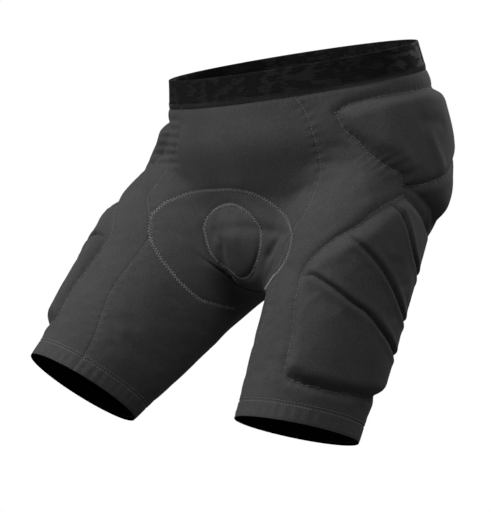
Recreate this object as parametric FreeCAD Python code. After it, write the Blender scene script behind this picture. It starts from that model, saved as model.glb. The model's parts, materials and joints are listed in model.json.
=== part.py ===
import FreeCAD, Part
import math
import os

# Padded impact shorts, filled out as if worn, with the right leg raised further forward than the left.
# Lengths in millimetres, angles in degrees. The origin is the middle of the waist opening, +Z is up,
# the wearer faces -Y and the wearer's left is +X. The waist tips forward with the wearer's pelvis.
# Two surfaces drive everything: the body under the cloth, and the cloth, which also rises over the pads.

Vector = FreeCAD.Vector
Placement = FreeCAD.Placement
Rotation = FreeCAD.Rotation
X_AXIS = Vector(1, 0, 0)
Y_AXIS = Vector(0, 1, 0)
AXES = (X_AXIS, Y_AXIS, Vector(0, 0, 1))
SIDES = {"left": 1, "right": -1}

# Posture
PELVIS_TILT = 15.0
LEG_FLEX = {"left": 18.0, "right": 35.0}
LEG_SPREAD = {"left": -3.5, "right": 14.5}
HIP_JOINT = Vector(95, -22, -124)

# Seat of the body: half width, and depth to the front and back, at equal steps below the waist
SEAT_STEP = 36.0
SEAT_HALF_WIDTH = [152, 158, 164, 160, 158]
SEAT_FRONT = [111, 116, 125, 121, 112]
SEAT_BACK = [111, 112, 116, 124, 98]
SEAT_TUBE_LENGTH = SEAT_STEP * 4
SEAT_ROUNDING = 100.0
BUTTOCK_CENTRE = Vector(57, 54, -136)
BUTTOCK_RADII = (64, 58, 70)
POUCH_CENTRE = Vector(0, -84, -180)
POUCH_RADII = (50, 44, 52)

# Legs of the body: radius at equal steps from the hip joint to the hem
LEG_LENGTH = 287.0
LEG_RADIUS = [66, 81, 78, 72, 65]
THIGH_OVAL = 0.25
THIGH_OVAL_TURN = 48.0
THIGH_SETBACK = 10.0
BLEND = 13.0

# Cloth and trim
CLOTH = 1.5
SEAM_GAP = 3.4
OPENING_GAP = 6.4
SEAM_INSETS = 4 * [SEAM_GAP / 2]
LEG_INSETS = [SEAM_GAP / 2, OPENING_GAP - SEAM_GAP / 2, SEAM_GAP / 2, SEAM_GAP / 2]
WAISTBAND_HEIGHT = 27.0
WAISTBAND_OUT = 0.4
WAISTBAND_IN = -2.6
HEM_HEIGHT = 20.0
HEM_SLANT = 5.0
HEM_THICKNESS = 2.2
GRIPPER_HEIGHT = 12.0
GRIPPER_LIFT = 7.0
GRIPPER_RADIUS = 60.8
GRIPPER_OUT = -2.7

# Padding: how far the cloth rises over a pad, and over what width it climbs at the pad's edge
PAD_RELIEF = 8.0
TAIL_RELIEF = 6.0
PAD_RAMP = 14.0
PAD_INSET = 6.0
GROOVE_INSET = 2.0
PAD_UNDER_CLOTH = 2.0
PAD_BOTTOM = -3.6
LINER_OUT = -4.2
LINER_IN = -5.1
LINER_INSET = 1.5
SEAT_PAD_OUT = -4.0
SEAT_PAD_IN = -6.6
SEAT_CORE_OUT = -7.6
SEAT_CORE_IN = -12.6

# Mean arc length of one degree, used to turn degrees round into millimetres
SEAT_DEGREE = 2.7
LEG_DEGREE = 1.4

# Leg opening: a slanting plane through the side of the hip parts seat from leg (left side shown)
OPENING_POINT = Vector(167, -48, -142)
OPENING_NORMAL = Vector(-0.58, 0.38, 0.72)

# Lines on the cloth, as (degrees round from the front, millimetres down). Seat lines run in the seat's
# frame, leg lines in the leg's, where millimetres count from the hip joint.
SEAT_TOP = WAISTBAND_HEIGHT + SEAM_GAP
MID_FRONT = 0.0
MID_BACK = 180.0
SADDLE_FRONT = 30.0
SADDLE_BACK = 150.0
FRONT_SEAM = [(41, SEAT_TOP), (45, 68), (46, 92), (45, 113), (41, 131)]
BACK_SEAM = [(140, SEAT_TOP), (138, 80), (138, 120), (141, 155)]
GROIN = -5.0
CROTCH = -100.0
BUTTOCK_FOLD = 172.0
LEG_FRONT_SEAM = [(-15, 120), (-21, 145), (-22, 180), (-27, 215), (-36, 250), (-38, 265)]
LEG_BACK_SEAM = [(178, 100), (184, 150), (188, 210), (190, 265)]

HIP_PAD_TOP = [(57, 51), (75, 45), (100, 48), (126, 56)]
HIP_PAD_FRONT = [(67, 113), (62, 93), (58, 72)]
HIP_PAD_BACK_ROUND = 126.0
HIP_PAD_LEG_ROUND = (80.0, 150.0)
TAIL_PAD_HALF_ROUND = 20.0
TAIL_PAD_FOOT_ROUND = 11.0
TAIL_PAD_TOP = 70.0
TAIL_PAD_BOTTOM = 150.0
TAIL_PAD_CROWN = 5.0
THIGH_PAD_BACK = 140.0
PAD_TO_OPENING = 9.0
HIP_PAD_LIFT = 3.0
SEAM_TO_OPENING = 20.0
GROOVES = [
    [(80, 28), (99, 36), (122, 42), (THIGH_PAD_BACK, 44)],
    [(66, 48), (82, 65), (106, 88), (THIGH_PAD_BACK, 102)],
    [(44, 95), (62, 112), (89, 133), (THIGH_PAD_BACK, 152)],
    [(17, 142), (46, 155), (90, 176), (THIGH_PAD_BACK, 188)],
    [(20, 247), (50, 252), (95, 244), (THIGH_PAD_BACK, 230)],
]
PAD_FRONT_EDGES = [
    [(73, 38)],
    [(57, 65)],
    [(30, 113)],
    [(16, 170), (19, 210)],
]
SEAT_PAD_TOP = [(-20, 126), (0, 119), (20, 126)]
SEAT_PAD_ROUND = (-15.0, -150.0)
SEAT_PAD_REAR = (135, 50)
WING_EDGE = [(-15, 122), (-30, 138), (-60, 155), (-92, 162), (-120, 156)]
WING_INSET = 2.0
CORE_INSETS = [15.0, 10.0, 14.0, 14.0]

# Fineness of the modelled surfaces
RING_POINTS = 48
BAND_STEPS = 3
OUTLINE_SIDE = 10
DEGREE = 3
ROUND_STEP = 6.0
SEAM_SAMPLES = 12
GRID_STEP = 6.0
GRID_LEAST = 4
GRID_MOST = 48
MARCH_START = 14.0
MARCH_LEAST = 3.0
PROBE = 0.5
SOLVE_STEPS = 5
TINY = 1e-9


def clamp(value, low, high):
    return min(max(value, low), high)


def smooth_value(values, position):
    """Value at a position counted in steps along evenly spaced values, on a Catmull-Rom curve."""
    last = len(values) - 1
    position = clamp(position, 0.0, last)
    index = min(int(position), last - 1)
    t = position - index
    start = values[index]
    end = values[index + 1]
    before = values[index - 1] if index > 0 else start
    after = values[index + 2] if index + 2 <= last else end
    bend = 2 * before - 5 * start + 4 * end - after
    twist = 3 * (start - end) + after - before
    return start + 0.5 * t * ((end - before) + t * (bend + t * twist))


def smooth_point(points, t):
    """Point at a share t of the way along a smooth line through points of two numbers each."""
    position = t * (len(points) - 1)
    return tuple(smooth_value([point[axis] for point in points], position) for axis in (0, 1))


def mirrored(vector, sign):
    return Vector(sign * vector.x, vector.y, vector.z)


SEAT = Placement(Vector(0, 0, 0), Rotation(X_AXIS, PELVIS_TILT))


def leg_placement(side):
    """Frame of a leg: origin at its hip joint, with the leg running down its own -Z."""
    sign = SIDES[side]
    bend = Rotation(X_AXIS, -LEG_FLEX[side])
    spread = Rotation(Y_AXIS, -sign * LEG_SPREAD[side])
    return Placement(SEAT.multVec(mirrored(HIP_JOINT, sign)), bend.multiply(spread))


LEG = {side: leg_placement(side) for side in SIDES}
SEAT_INVERSE = SEAT.inverse()
LEG_INVERSE = {side: LEG[side].inverse() for side in SIDES}


def rounded(x, y, z, radius_x, radius_y, radius_z):
    """Signed distance, true near the surface, from an oval body centred on the origin."""
    reach = math.sqrt((x / radius_x) ** 2 + (y / radius_y) ** 2 + (z / radius_z) ** 2)
    slope = math.sqrt((x / radius_x**2) ** 2 + (y / radius_y**2) ** 2 + (z / radius_z**2) ** 2)
    return reach * (reach - 1) / (slope + TINY)


def seat_distance(p):
    down = -p.z / SEAT_STEP
    depths = SEAT_FRONT if p.y < 0 else SEAT_BACK
    past_end = min(p.z + SEAT_TUBE_LENGTH, 0.0)
    half_width = smooth_value(SEAT_HALF_WIDTH, down)
    return rounded(p.x, p.y, past_end, half_width, smooth_value(depths, down), SEAT_ROUNDING)


OVAL_COS = math.cos(math.radians(THIGH_OVAL_TURN))
OVAL_SIN = math.sin(math.radians(THIGH_OVAL_TURN))


def leg_distance(p, sign):
    """Signed distance from a thigh: oval near the hip, widest towards the outer front, round at the hem."""
    fade = 1.0 - clamp(-p.z / LEG_LENGTH, 0.0, 1.0)
    radius = smooth_value(LEG_RADIUS, -4.0 * p.z / LEG_LENGTH)
    outward = sign * p.x
    back = p.y - THIGH_SETBACK * fade
    along = outward * OVAL_COS - back * OVAL_SIN
    across = outward * OVAL_SIN + back * OVAL_COS
    long_radius = radius * (1 + THIGH_OVAL * fade)
    short_radius = radius * (1 - THIGH_OVAL * fade)
    return rounded(along, across, max(p.z, 0.0), long_radius, short_radius, LEG_RADIUS[0])


def body_distance(point):
    """Signed distance from the body: seat, legs, buttocks and pouch blended into one smooth surface."""
    p = SEAT_INVERSE.multVec(point)
    pouch = p - POUCH_CENTRE
    distances = [seat_distance(p), rounded(pouch.x, pouch.y, pouch.z, *POUCH_RADII)]
    for side, sign in SIDES.items():
        distances.append(leg_distance(LEG_INVERSE[side].multVec(point), sign))
        buttock = p - mirrored(BUTTOCK_CENTRE, sign)
        distances.append(rounded(buttock.x, buttock.y, buttock.z, *BUTTOCK_RADII))
    nearest = min(distances)
    total = sum(math.exp((nearest - distance) / BLEND) for distance in distances)
    return nearest - BLEND * math.log(total)


def outward(point):
    """Unit normal of the body at a point on it."""
    slopes = [body_distance(point + axis * PROBE) - body_distance(point - axis * PROBE) for axis in AXES]
    return Vector(*slopes).normalize()


def walk_out(start, ray):
    """First point where a ray from inside the body leaves it."""
    far = MARCH_START
    far_value = body_distance(start + ray * far)
    near, near_value = 0.0, -far
    while far_value < 0:
        near, near_value = far, far_value
        far += max(-far_value, MARCH_LEAST)
        far_value = body_distance(start + ray * far)
    for _ in range(SOLVE_STEPS):
        middle = near + (far - near) * near_value / (near_value - far_value)
        value = body_distance(start + ray * middle)
        if value < 0:
            near, near_value = middle, value
        else:
            far, far_value = middle, value
    return start + ray * (near + (far - near) * near_value / (near_value - far_value))


class Chart:
    """Coordinates on the body about an axis inside it: degrees round from the front, millimetres down."""

    def __init__(self, placement, sign, degree):
        self.placement = placement
        self.inverse = placement.inverse()
        self.sign = sign
        self.degree = degree

    def locate(self, point, near=60.0):
        """Degrees round, within half a turn of `near`, and millimetres down, of a point in space."""
        local = self.inverse.multVec(point)
        around = math.degrees(math.atan2(self.sign * local.x, -local.y))
        turns = round((near - around) / 360.0)
        return around + 360.0 * turns, -local.z

    def ray(self, around):
        angle = math.radians(around)
        local = Vector(self.sign * math.sin(angle), -math.cos(angle), 0)
        return self.placement.Rotation.multVec(local).normalize()

    def point(self, around, down):
        """Point on the body."""
        return walk_out(self.placement.multVec(Vector(0, 0, -down)), self.ray(around))


SEAT_CHART = {side: Chart(SEAT, SIDES[side], SEAT_DEGREE) for side in SIDES}
LEG_CHART = {side: Chart(LEG[side], SIDES[side], LEG_DEGREE) for side in SIDES}
# The saddle chart turns about a line across the hips: degrees count from the front, under the crotch and
# up the back, and "down" counts millimetres towards the wearer's right.
SADDLE_CENTRE = Vector(0, 0, -110)
SADDLE = Chart(SEAT.multiply(Placement(SADDLE_CENTRE, Rotation(Y_AXIS, 90))), 1, SEAT_DEGREE)


def opening_frame(side):
    """A point and the normal of the plane that parts a leg from the seat."""
    sign = SIDES[side]
    normal = SEAT.Rotation.multVec(mirrored(OPENING_NORMAL, sign))
    return SEAT.multVec(mirrored(OPENING_POINT, sign)), normal


def opening_down(side, around):
    """How far down the leg, on the body, the opening plane runs at some degrees round."""
    chart = LEG_CHART[side]
    point, normal = opening_frame(side)
    origin = chart.placement.Base
    axis = chart.placement.Rotation.multVec(Vector(0, 0, -1))
    across = chart.ray(around)
    centre_down = (point - origin).dot(normal) / axis.dot(normal)
    ray = (across - axis * (across.dot(normal) / axis.dot(normal))).normalize()
    return chart.locate(walk_out(origin + axis * centre_down, ray))[1]


def spread(start, end, step):
    """Evenly spaced values from start to end, about one step apart."""
    count = max(2, round(abs(end - start) / step))
    return [start + (end - start) * k / count for k in range(count + 1)]


def opening_places(side, start, end):
    """Leg-chart places along the leg opening."""
    return [(around, opening_down(side, around)) for around in spread(start, end, ROUND_STEP)]


def opening_points(side, start, end):
    return [LEG_CHART[side].point(around, down) for around, down in opening_places(side, start, end)]


def frame_of(bottom, top, front=(), back=()):
    """Four edges of a sheet: bottom and top run front to back, front and back run bottom to top."""
    return (bottom, top, [bottom[0], *front, top[0]], [bottom[-1], *back, top[-1]])


def place_inside(edges, u, v):
    """Chart place at shares u and v between four edges."""
    bottom, top, front, back = edges
    low, high = smooth_point(bottom, u), smooth_point(top, u)
    start, end = smooth_point(front, v), smooth_point(back, v)
    place = []
    for axis in (0, 1):
        lines = (1 - v) * low[axis] + v * high[axis] + (1 - u) * start[axis] + u * end[axis]
        low_corners = (1 - u) * bottom[0][axis] + u * bottom[-1][axis]
        high_corners = (1 - u) * top[0][axis] + u * top[-1][axis]
        place.append(lines - (1 - v) * low_corners - v * high_corners)
    return place


class Outline:
    """Edge of a pad, rolled out flat in millimetres, and how high the cloth climbs inside it."""

    def __init__(self, chart, edges, height):
        self.chart = chart
        self.height = height
        bottom, top, front, back = edges
        loop = []
        for edge in (bottom, back, top[::-1], front[::-1]):
            loop += [smooth_point(edge, k / OUTLINE_SIDE) for k in range(OUTLINE_SIDE)]
        self.near = sum(around for around, down in loop) / len(loop)
        self.loop = [(around * chart.degree, down) for around, down in loop]
        self.low = [min(place[axis] for place in self.loop) for axis in (0, 1)]
        self.high = [max(place[axis] for place in self.loop) for axis in (0, 1)]

    def depth(self, x, y):
        """Distance in from the edge, zero outside it."""
        if not (self.low[0] < x < self.high[0] and self.low[1] < y < self.high[1]):
            return 0.0
        inside = False
        nearest = PAD_RAMP**2
        for (x1, y1), (x2, y2) in zip(self.loop, self.loop[1:] + self.loop[:1]):
            run, rise = x2 - x1, y2 - y1
            if (y1 > y) != (y2 > y) and x < x1 + run * (y - y1) / rise:
                inside = not inside
            share = clamp(((x - x1) * run + (y - y1) * rise) / (run * run + rise * rise + TINY), 0.0, 1.0)
            gap = (x1 + share * run - x) ** 2 + (y1 + share * rise - y) ** 2
            nearest = min(nearest, gap)
        return math.sqrt(nearest) if inside else 0.0

    def relief(self, point):
        around, down = self.chart.locate(point, self.near)
        climb = self.depth(around * self.chart.degree, down) / PAD_RAMP
        return self.height * climb * climb * (3 - 2 * climb)


def hip_pad_edges(side):
    """Hip pad: from under the waistband to the leg opening, pointed at the front."""
    chart = SEAT_CHART[side]
    leg_line = [chart.locate(point) for point in opening_points(side, *HIP_PAD_LEG_ROUND)]
    bottom = [(around, down - HIP_PAD_LIFT) for around, down in leg_line]
    back = [(HIP_PAD_BACK_ROUND, (bottom[-1][1] + HIP_PAD_TOP[-1][1]) / 2)]
    return frame_of(bottom, HIP_PAD_TOP, HIP_PAD_FRONT, back)


def below_opening(side, places):
    """Leg places moved down, where needed, to stay clear of the leg opening."""
    return [(around, max(down, opening_down(side, around) + PAD_TO_OPENING)) for around, down in places]


def thigh_pad_edges(side, first=0, last=len(GROOVES) - 1):
    """Part of the thigh pad, from one groove down to another."""
    front = []
    for index in range(last - 1, first - 1, -1):
        front += [*PAD_FRONT_EDGES[index][::-1], GROOVES[index][0]]
    bottom, top, front = (below_opening(side, line) for line in (GROOVES[last], GROOVES[first], front[:-1]))
    return frame_of(bottom, top, front)


def crowned(half_round, down, crown):
    """Line across the middle of the back that bows down by its crown."""
    return [(MID_BACK - half_round, down), (MID_BACK, down + crown), (MID_BACK + half_round, down)]


def tail_pad_edges():
    """Tailbone pad: a shield shape, narrower at the bottom, centred at the back."""
    return frame_of(
        crowned(TAIL_PAD_FOOT_ROUND, TAIL_PAD_BOTTOM, TAIL_PAD_CROWN),
        crowned(TAIL_PAD_HALF_ROUND, TAIL_PAD_TOP, -TAIL_PAD_CROWN),
    )


def pad_outlines():
    outlines = [Outline(SEAT_CHART["left"], tail_pad_edges(), TAIL_RELIEF)]
    for side in SIDES:
        outlines.append(Outline(SEAT_CHART[side], hip_pad_edges(side), PAD_RELIEF))
        outlines.append(Outline(LEG_CHART[side], thigh_pad_edges(side), PAD_RELIEF))
    return outlines


OUTLINES = pad_outlines()


def cloth_top(point):
    """Height of the outside of the cloth over a point on the body: it rises over the pads."""
    return max(outline.relief(point) for outline in OUTLINES)


def cloth_bottom(point):
    return cloth_top(point) - CLOTH


def pad_top(point):
    return cloth_bottom(point) - PAD_UNDER_CLOTH


def level(height):
    """A height that is the same all over."""
    return lambda point: height


def solid_from(faces):
    shell = Part.Shell(faces)
    shell.sewShape()
    solid = Part.Solid(shell)
    if solid.Volume < 0:
        solid.reverse()
    return solid


def knots_for(poles):
    """Knots, their repeats and the degree of a smooth curve that starts and ends on its end poles."""
    degree = min(DEGREE, poles - 1)
    spans = poles - degree
    repeats = [degree + 1] + [1] * (spans - 1) + [degree + 1]
    return [float(knot) for knot in range(spans + 1)], repeats, degree


def poles_through(points):
    """Poles for a curve that passes close to a line of points; its two ends stay put."""
    inner = [
        point + (point * 2 - before - after) / 6
        for before, point, after in zip(points, points[1:], points[2:])
    ]
    return [points[0], *inner, points[-1]]


def turned(grid):
    return [list(line) for line in zip(*grid)]


def pole_grid(grid):
    """Poles for a smooth face through a grid of points, without ripples between them."""
    poles = [poles_through(row) for row in grid]
    return turned([poles_through(column) for column in turned(poles)])


def curved_face(poles):
    row_knots, row_repeats, row_degree = knots_for(len(poles))
    column_knots, column_repeats, column_degree = knots_for(len(poles[0]))
    surface = Part.BSplineSurface()
    surface.buildFromPolesMultsKnots(
        poles, row_repeats, column_repeats, row_knots, column_knots, False, False, row_degree, column_degree
    )
    return surface.toShape()


def rim(poles):
    """The four lines of poles round the edge of a grid."""
    columns = turned(poles)
    return [poles[0], poles[-1], columns[0], columns[-1]]


def solid_between(inner_grid, outer_grid):
    """Closed solid between two matching grids of points."""
    inside, outside = pole_grid(inner_grid), pole_grid(outer_grid)
    walls = [[inner_line, outer_line] for inner_line, outer_line in zip(rim(inside), rim(outside))]
    return solid_from([curved_face(poles) for poles in (inside, outside, *walls)])


def path_length(points):
    return sum((after - before).Length for before, after in zip(points, points[1:]))


def sheet(chart, edges, inner, outer, insets):
    """Closed solid inside four edges, between two heights over the body.

    The insets pull the solid back from its bottom, top, front and back edges.
    """
    quarters = [k / 4 for k in range(5)]
    length = path_length([chart.point(*place_inside(edges, u, 0.5)) for u in quarters])
    height = path_length([chart.point(*place_inside(edges, 0.5, v)) for v in quarters])
    low, high = insets[0] / height, 1 - insets[1] / height
    start, end = insets[2] / length, 1 - insets[3] / length
    columns = int(clamp(round(length / GRID_STEP), GRID_LEAST, GRID_MOST))
    rows = int(clamp(round(height / GRID_STEP), GRID_LEAST, GRID_MOST))
    inner_grid, outer_grid = [], []
    for row in range(rows + 1):
        v = low + (high - low) * row / rows
        shares = [start + (end - start) * column / columns for column in range(columns + 1)]
        points = [chart.point(*place_inside(edges, u, v)) for u in shares]
        inner_grid.append([point + outward(point) * inner(point) for point in points])
        outer_grid.append([point + outward(point) * outer(point) for point in points])
    return solid_between(inner_grid, outer_grid)


def cloth(chart, edges, insets=SEAM_INSETS):
    return sheet(chart, edges, cloth_bottom, cloth_top, insets)


def closed_edge(points):
    curve = Part.BSplineCurve()
    curve.interpolate(points, PeriodicFlag=True)
    return curve.toShape()


def band(loops, flat_end=False):
    """Closed ring whose cross-section has one corner on each loop, taken in order round the section.

    With a flat end, the face from the last loop back to the first is a plane.
    """
    edges = [closed_edge(loop) for loop in loops]
    faces = [Part.makeRuledSurface(a, b) for a, b in zip(edges, edges[1:])]
    if flat_end:
        faces.append(Part.Face(Part.Wire(edges[0])).cut(Part.Face(Part.Wire(edges[-1]))).Faces[0])
    else:
        faces.append(Part.makeRuledSurface(edges[-1], edges[0]))
    return solid_from(faces)


def loop_round(chart, down_at, lift):
    """Loop round a chart's axis, some height over the body; down_at gives how far down each point lies."""
    loop = []
    for k in range(RING_POINTS):
        around = 360.0 * k / RING_POINTS
        loop.append(chart.point(around, down_at(around)) + chart.ray(around) * lift)
    return loop


def make_waistband():
    chart = SEAT_CHART["left"]
    downs = [WAISTBAND_HEIGHT * k / BAND_STEPS for k in range(BAND_STEPS + 1)]
    outside = [loop_round(chart, lambda around: down, WAISTBAND_OUT) for down in downs]
    inside = [loop_round(chart, lambda around: down, WAISTBAND_IN) for down in downs[::-1]]
    return band(outside + inside, flat_end=True)


def hem_down(around, height):
    """Distance down the leg of a line parallel to the slanting hem, some height above it."""
    slant = LEG_RADIUS[-1] * math.tan(math.radians(HEM_SLANT)) * math.cos(math.radians(around))
    return LEG_LENGTH + slant - height


def make_hem_band(side):
    chart = LEG_CHART[side]
    corners = [(0, 0.0), (HEM_HEIGHT, 0.0), (HEM_HEIGHT, -HEM_THICKNESS), (0, -HEM_THICKNESS)]
    return band([loop_round(chart, lambda around: hem_down(around, high), lift) for high, lift in corners])


def make_gripper(side):
    """Silicone ring inside the hem, with a plain round bore down the leg's own axis."""
    chart = LEG_CHART[side]
    top = LEG_LENGTH - GRIPPER_LIFT - GRIPPER_HEIGHT
    downs = (top, top + GRIPPER_HEIGHT)
    outside = [loop_round(chart, lambda around: down, GRIPPER_OUT) for down in downs]
    blank = Part.Solid(Part.makeLoft([Part.Wire(closed_edge(loop)) for loop in outside], True, True))
    bore = Part.makeCylinder(GRIPPER_RADIUS, LEG_LENGTH, Vector(0, 0, -top - LEG_LENGTH / 2))
    bore.Placement = chart.placement
    return blank.cut(bore).Solids[0]


def seam_places(side, seam, leg_around):
    """Seat-chart places down a seam, from the waistband to where it meets the leg opening."""
    chart = SEAT_CHART[side]
    opening, normal = opening_frame(side)
    line = [place for place in seam if (chart.point(*place) - opening).dot(normal) > SEAM_TO_OPENING]
    line.append(chart.locate(LEG_CHART[side].point(leg_around, opening_down(side, leg_around))))
    return [smooth_point(line, k / SEAM_SAMPLES) for k in range(SEAM_SAMPLES + 1)]


def waist_points(side, start, end):
    """Points along the lower edge of the waistband."""
    return [SEAT_CHART[side].point(around, SEAT_TOP) for around in spread(start, end, ROUND_STEP)]


def edge_points(side, seam, leg_start, leg_end):
    """A crossing panel's edge on one side: down its seam, then round the leg opening to the crotch."""
    places = seam_places(side, seam, leg_start)
    return [SEAT_CHART[side].point(*place) for place in places] + opening_points(side, leg_start, leg_end)[1:]


def across_panel(seam, leg_round, middle, near):
    """Cloth that crosses from side to side in the saddle chart, from the waistband to the crotch.

    The middle is the degrees round the seat of its centre line, and near the same round the saddle.
    """
    edges = {}
    for side in SIDES:
        edges[side] = [SADDLE.locate(point, near) for point in edge_points(side, seam, *leg_round)]
    right, left = edges["right"], edges["left"]
    reach = abs(seam[0][0] - middle)
    turn = 1 if middle == MID_FRONT else -1
    points = waist_points("left", middle - turn * reach, middle + turn * reach)
    waist = [SADDLE.locate(point, near) for point in points]
    top = [right[0], *waist[1:-1], left[0]]
    frame = frame_of([right[-1], left[-1]], top, right[-2:0:-1], left[-2:0:-1])
    return cloth(SADDLE, frame)


def make_front_panel():
    return across_panel(FRONT_SEAM, (GROIN, CROTCH), MID_FRONT, SADDLE_FRONT)


def make_seat_panel():
    return across_panel(BACK_SEAM, (BUTTOCK_FOLD, 360 + CROTCH), MID_BACK, SADDLE_BACK)


def make_hip_panel(side):
    chart = SEAT_CHART[side]
    bottom = [chart.locate(point) for point in opening_points(side, GROIN, BUTTOCK_FOLD)]
    top = [chart.locate(point) for point in waist_points(side, FRONT_SEAM[0][0], BACK_SEAM[0][0])]
    front = seam_places(side, FRONT_SEAM, GROIN)
    back = seam_places(side, BACK_SEAM, BUTTOCK_FOLD)
    return cloth(chart, frame_of(bottom, top, front[-2:0:-1], back[-2:0:-1]))


def leg_panel(side, start, end, front, back):
    """Sheet round part of a leg, from the hem band up to the leg opening."""
    top = opening_places(side, start, end)
    low_arounds = spread(front[-1][0], back[-1][0], ROUND_STEP)
    bottom = [(around, hem_down(around, HEM_HEIGHT)) for around in low_arounds]
    edges = frame_of(bottom, top, front[-2::-1], back[-2::-1])
    return cloth(LEG_CHART[side], edges, LEG_INSETS)


def make_leg_side_panel(side):
    return leg_panel(side, GROIN, BUTTOCK_FOLD, LEG_FRONT_SEAM, LEG_BACK_SEAM)


def make_leg_inner_panel(side):
    front = [(360 + around, down) for around, down in LEG_FRONT_SEAM]
    return leg_panel(side, BUTTOCK_FOLD, 360 + GROIN, LEG_BACK_SEAM, front)


def pad(chart, edges, insets):
    """Foam that fills the space between its liner and the raised cloth."""
    return sheet(chart, edges, level(PAD_BOTTOM), pad_top, insets)


def liner(chart, edges):
    """Thin mesh that holds a pad from inside."""
    return sheet(chart, edges, level(LINER_IN), level(LINER_OUT), 4 * [LINER_INSET])


def make_thigh_pad(side, index):
    """One foam segment of the thigh pad, between two stitched grooves."""
    segments = len(GROOVES) - 1
    low = PAD_INSET if index == segments - 1 else GROOVE_INSET
    high = PAD_INSET if index == 0 else GROOVE_INSET
    edges = thigh_pad_edges(side, index, index + 1)
    return pad(LEG_CHART[side], edges, [low, high, PAD_INSET, PAD_INSET])


def seat_pad_edges():
    """Saddle-chart edges of the seat pad: over the pubis, down both groins and back under the seat."""
    edges = {}
    for side, sign in SIDES.items():
        groin = [SADDLE.locate(point) for point in opening_points(side, *SEAT_PAD_ROUND)]
        edges[side] = [*groin, (SEAT_PAD_REAR[0], -sign * SEAT_PAD_REAR[1])]
    chart = SEAT_CHART["left"]
    middle = [SADDLE.locate(chart.point(around, down)) for around, down in SEAT_PAD_TOP]
    right, left = edges["right"], edges["left"]
    top = [right[0], *middle, left[0]]
    return frame_of([right[-1], left[-1]], top, right[-2:0:-1], left[-2:0:-1])


def make_seat_pad_wing(side):
    """Part of the seat pad that lies on the inner thigh, beyond the leg opening."""
    edges = frame_of(WING_EDGE, opening_places(side, WING_EDGE[0][0], WING_EDGE[-1][0]))
    return sheet(LEG_CHART[side], edges, level(SEAT_PAD_IN), level(SEAT_PAD_OUT), 4 * [WING_INSET])


def make_seat_pad_base():
    return sheet(SADDLE, seat_pad_edges(), level(SEAT_PAD_IN), level(SEAT_PAD_OUT), 4 * [WING_INSET])


def make_seat_pad_core():
    """Thicker, softer foam on the skin side of the seat pad."""
    return sheet(SADDLE, seat_pad_edges(), level(SEAT_CORE_IN), level(SEAT_CORE_OUT), CORE_INSETS)


def make_parts():
    parts = {
        "waistband": make_waistband(),
        "front_panel": make_front_panel(),
        "seat_panel": make_seat_panel(),
        "tailbone_pad": pad(SEAT_CHART["left"], tail_pad_edges(), 4 * [PAD_INSET]),
        "tailbone_pad_liner": liner(SEAT_CHART["left"], tail_pad_edges()),
        "seat_pad_base": make_seat_pad_base(),
        "seat_pad_core": make_seat_pad_core(),
    }
    for side in SIDES:
        parts[side + "_hip_panel"] = make_hip_panel(side)
        parts[side + "_hip_pad"] = pad(SEAT_CHART[side], hip_pad_edges(side), 4 * [PAD_INSET])
        parts[side + "_hip_pad_liner"] = liner(SEAT_CHART[side], hip_pad_edges(side))
        parts[side + "_leg_side_panel"] = make_leg_side_panel(side)
        parts[side + "_leg_inner_panel"] = make_leg_inner_panel(side)
        parts[side + "_hem_band"] = make_hem_band(side)
        parts[side + "_leg_gripper"] = make_gripper(side)
        parts[side + "_thigh_pad_liner"] = liner(LEG_CHART[side], thigh_pad_edges(side))
        parts[side + "_seat_pad_wing"] = make_seat_pad_wing(side)
        for index in range(len(GROOVES) - 1):
            parts[f"{side}_thigh_pad_{index + 1}"] = make_thigh_pad(side, index)
    return parts


os.makedirs("parts", exist_ok=True)
for name, shape in make_parts().items():
    shape.exportStep("parts/" + name + ".step")
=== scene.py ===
import json
import math

import bpy
import numpy as np
from mathutils import Matrix, Vector
from mathutils.bvhtree import BVHTree
from mathutils.kdtree import KDTree


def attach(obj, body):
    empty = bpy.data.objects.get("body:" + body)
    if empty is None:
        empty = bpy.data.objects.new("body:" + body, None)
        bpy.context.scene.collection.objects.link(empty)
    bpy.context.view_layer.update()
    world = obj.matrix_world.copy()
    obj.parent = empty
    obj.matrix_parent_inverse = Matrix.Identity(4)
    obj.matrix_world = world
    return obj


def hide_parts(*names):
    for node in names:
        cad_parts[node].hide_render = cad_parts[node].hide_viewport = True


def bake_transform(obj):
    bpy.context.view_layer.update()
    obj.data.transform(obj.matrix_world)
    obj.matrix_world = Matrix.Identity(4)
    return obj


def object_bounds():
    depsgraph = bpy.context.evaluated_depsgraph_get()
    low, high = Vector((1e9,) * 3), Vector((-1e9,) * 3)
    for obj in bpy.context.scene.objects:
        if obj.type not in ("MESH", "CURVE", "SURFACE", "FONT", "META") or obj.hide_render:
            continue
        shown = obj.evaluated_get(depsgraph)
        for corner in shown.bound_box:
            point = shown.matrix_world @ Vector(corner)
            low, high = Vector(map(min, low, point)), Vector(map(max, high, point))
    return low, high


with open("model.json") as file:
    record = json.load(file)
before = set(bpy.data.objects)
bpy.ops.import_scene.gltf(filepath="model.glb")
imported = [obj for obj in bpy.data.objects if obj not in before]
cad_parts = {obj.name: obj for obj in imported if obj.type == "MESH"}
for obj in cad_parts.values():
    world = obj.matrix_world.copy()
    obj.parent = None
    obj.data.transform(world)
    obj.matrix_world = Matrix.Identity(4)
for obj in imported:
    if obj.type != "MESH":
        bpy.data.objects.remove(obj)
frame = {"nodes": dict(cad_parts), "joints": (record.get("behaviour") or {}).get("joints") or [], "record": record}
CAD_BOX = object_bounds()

# Padded impact shorts. Everything is in metres in the frame of the CAD. Lines on the cloth are given in two
# charts, as degrees round from the front and millimetres down an axis: the seat chart counts down from the
# waist, and each leg's chart counts down from its hip joint.
MM = 0.001
SIDES = {"left": 1, "right": -1}
NODES = frame["nodes"]
MOUNTS = {mount["name"]: mount for mount in frame["record"]["mounts"]}
JOINTS = {joint["name"]: joint for joint in frame["joints"]}

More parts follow.
